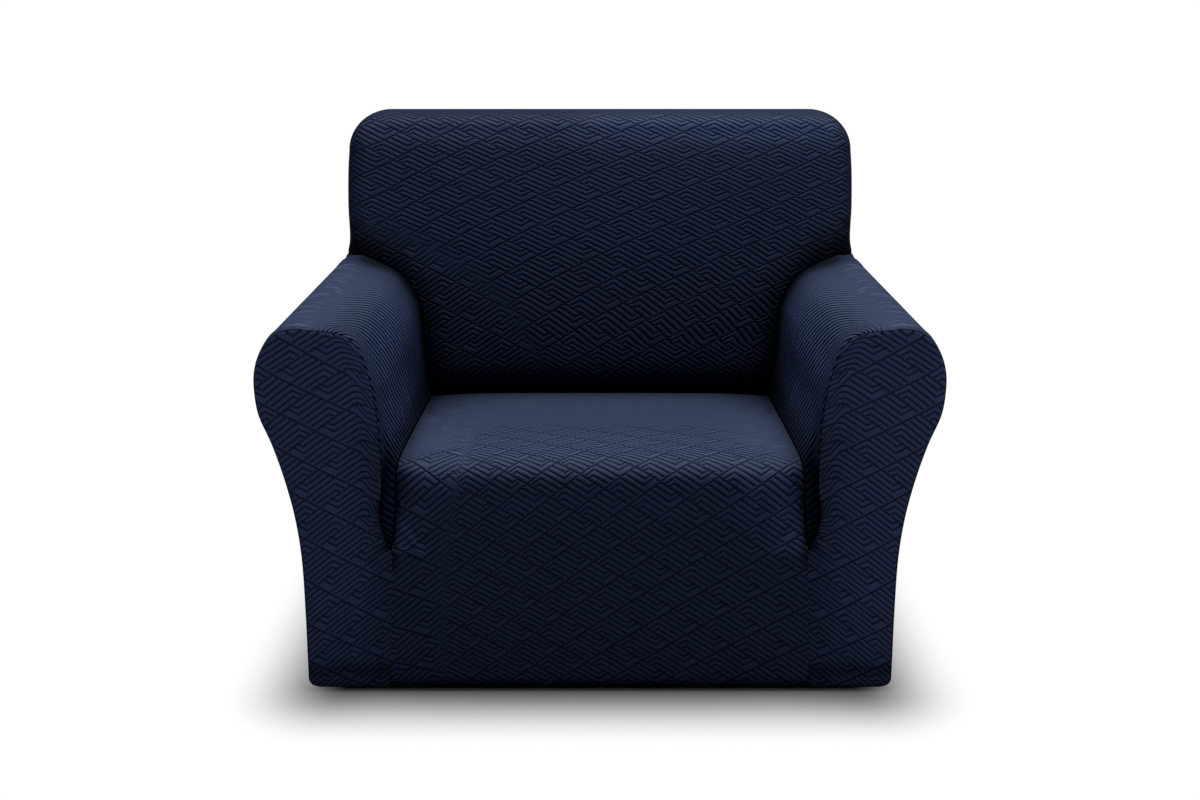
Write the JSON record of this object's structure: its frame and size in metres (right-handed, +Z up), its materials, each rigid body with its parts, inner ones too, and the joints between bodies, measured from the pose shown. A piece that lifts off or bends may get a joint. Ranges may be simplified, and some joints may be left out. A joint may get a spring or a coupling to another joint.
{
  "type": "armchair slipcover",
  "caption": "Fitted stretch cover for a rolled-arm armchair, with a raised fret pattern all over, empty and open underneath.",
  "frame": {"origin": "underside of the cloth at the middle of the back's top, where the chair inside carries the cover", "axes": "+Z up, the front of the armchair towards -Y, +X to the right seen from the front"},
  "size_m": [1.048, 0.8476, 0.874],
  "materials": {
    "cover_cloth": "matt navy stretch jacquard knit with raised ribs in a fret pattern"
  },
  "bodies": {
    "root": {"seat_front": "cover_cloth", "inside_back": "cover_cloth", "outside_back": "cover_cloth", "arm_left": "cover_cloth", "arm_right": "cover_cloth", "arm_front_left": "cover_cloth", "arm_front_right": "cover_cloth"}
  },
  "joints": []
}
